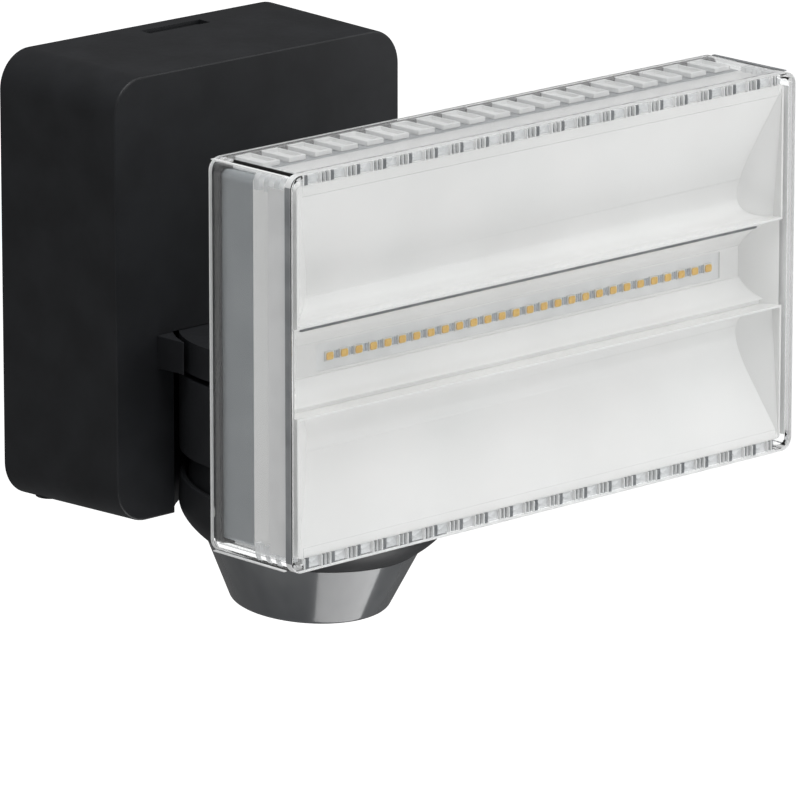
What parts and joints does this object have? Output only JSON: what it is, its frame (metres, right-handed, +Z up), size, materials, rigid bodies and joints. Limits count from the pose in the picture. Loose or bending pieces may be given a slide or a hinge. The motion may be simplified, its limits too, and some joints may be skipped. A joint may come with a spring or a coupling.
{
  "type": "wall floodlight with motion sensor",
  "caption": "Wall-mounted LED floodlight: a flat lamp head behind a clear cover on a swivelling, tilting arm, with a round motion sensor below the arm.",
  "frame": {"origin": "centre of the back plate's face that lies on the wall", "axes": "+Y into the wall, -Y out towards the lamp's front, +Z up, +X along the lamp's width"},
  "size_m": [0.23, 0.199, 0.19],
  "materials": {
    "black_plastic": "satin black moulded plastic",
    "grey_plastic": "satin grey moulded plastic",
    "white_plastic": "glossy white reflector plastic",
    "clear_plastic": "clear moulded polycarbonate with prism ribs",
    "smoke_plastic": "smoke-grey glossy sensor lens",
    "rubber": "black sealing rubber",
    "steel": "stainless steel",
    "aluminium": "plain aluminium",
    "board_green": "green circuit board",
    "board_white": "white circuit board",
    "phosphor": "yellow LED phosphor"
  },
  "bodies": {
    "wall_box": {"back_plate": "black_plastic", "box_cover": "black_plastic", "bay_liner": "black_plastic", "hub_guard_left": "black_plastic", "hub_guard_right": "black_plastic", "bay_shutter": "black_plastic", "cover_gasket": "rubber", "cable_grommet": "rubber", "terminal_block": "white_plastic", "terminal_screw_1": "steel", "terminal_screw_2": "steel", "terminal_screw_3": "steel", "driver_board": "board_green", "driver_transformer": "rubber", "storage_capacitor": "aluminium", "switching_relay": "white_plastic", "cover_screw_left": "steel", "cover_screw_right": "steel", "sensor_column": "black_plastic", "column_screw_left": "steel", "column_screw_right": "steel"},
    "arm": {"swivel_arm": "black_plastic", "arm_washer": "steel", "arm_retaining_ring": "steel", "arm_cap": "black_plastic"},
    "lamp": {"clear_cover": "clear_plastic", "head_gasket": "rubber", "head_housing": "grey_plastic", "head_grommet": "rubber", "head_screw_1": "steel", "head_screw_2": "steel", "head_screw_3": "steel", "head_screw_4": "steel", "reflector": "white_plastic", "heat_spreader": "aluminium", "led_board": "board_white", "led_row": "phosphor", "head_bracket": "steel", "bracket_screw_1": "steel", "bracket_screw_2": "steel", "bracket_screw_3": "steel", "bracket_screw_4": "steel", "tilt_pin": "steel", "tilt_nut": "steel", "tilt_washer_left": "rubber", "tilt_washer_right": "rubber"},
    "sensor_base": {"sensor_ball": "black_plastic", "ball_retainer": "steel"},
    "sensor_head": {"sensor_cup": "black_plastic", "sensor_lens": "smoke_plastic", "sensor_board": "board_green", "pyro_sensor_left": "steel", "pyro_sensor_right": "steel", "sensor_pin_left": "steel", "sensor_pin_right": "steel"},
    "latch": {"release_latch": "black_plastic"},
    "time_knob": {"time_dial": "white_plastic"},
    "twilight_knob": {"twilight_dial": "white_plastic"},
    "range_knob": {"range_dial": "white_plastic"}
  },
  "joints": [
    {"name": "arm_swivel", "type": "hinge", "parent": "wall_box", "child": "arm", "pos_m": [0, -0.0855, -0.019], "axis": [0, 0, 1], "range_deg": [-50, 50]},
    {"name": "lamp_tilt", "type": "hinge", "parent": "arm", "child": "lamp", "pos_m": [0, -0.149, -0.019], "axis": [1, 0, 0], "range_deg": [-20, 40]},
    {"name": "sensor_swivel", "type": "hinge", "parent": "wall_box", "child": "sensor_base", "pos_m": [0, -0.0855, -0.069], "axis": [0, 0, 1], "range_deg": [-90, 90]},
    {"name": "sensor_tilt", "type": "hinge", "parent": "sensor_base", "child": "sensor_head", "pos_m": [0, -0.0855, -0.069], "axis": [1, 0, 0], "range_deg": [-14, 4]},
    {"name": "latch_press", "type": "slide", "parent": "wall_box", "child": "latch", "axis": [0, 0, -1], "range_m": [0, 0.002], "stiffness_N_per_m": 600, "springref_m": -0.001},
    {"name": "time_dial_turn", "type": "hinge", "parent": "wall_box", "child": "time_knob", "pos_m": [-0.022, -0.017, -0.076], "axis": [0, 0, 1], "range_deg": [-135, 135]},
    {"name": "twilight_dial_turn", "type": "hinge", "parent": "wall_box", "child": "twilight_knob", "pos_m": [0, -0.017, -0.076], "axis": [0, 0, 1], "range_deg": [-135, 135]},
    {"name": "range_dial_turn", "type": "hinge", "parent": "wall_box", "child": "range_knob", "pos_m": [0.022, -0.017, -0.076], "axis": [0, 0, 1], "range_deg": [-135, 135]}
  ]
}
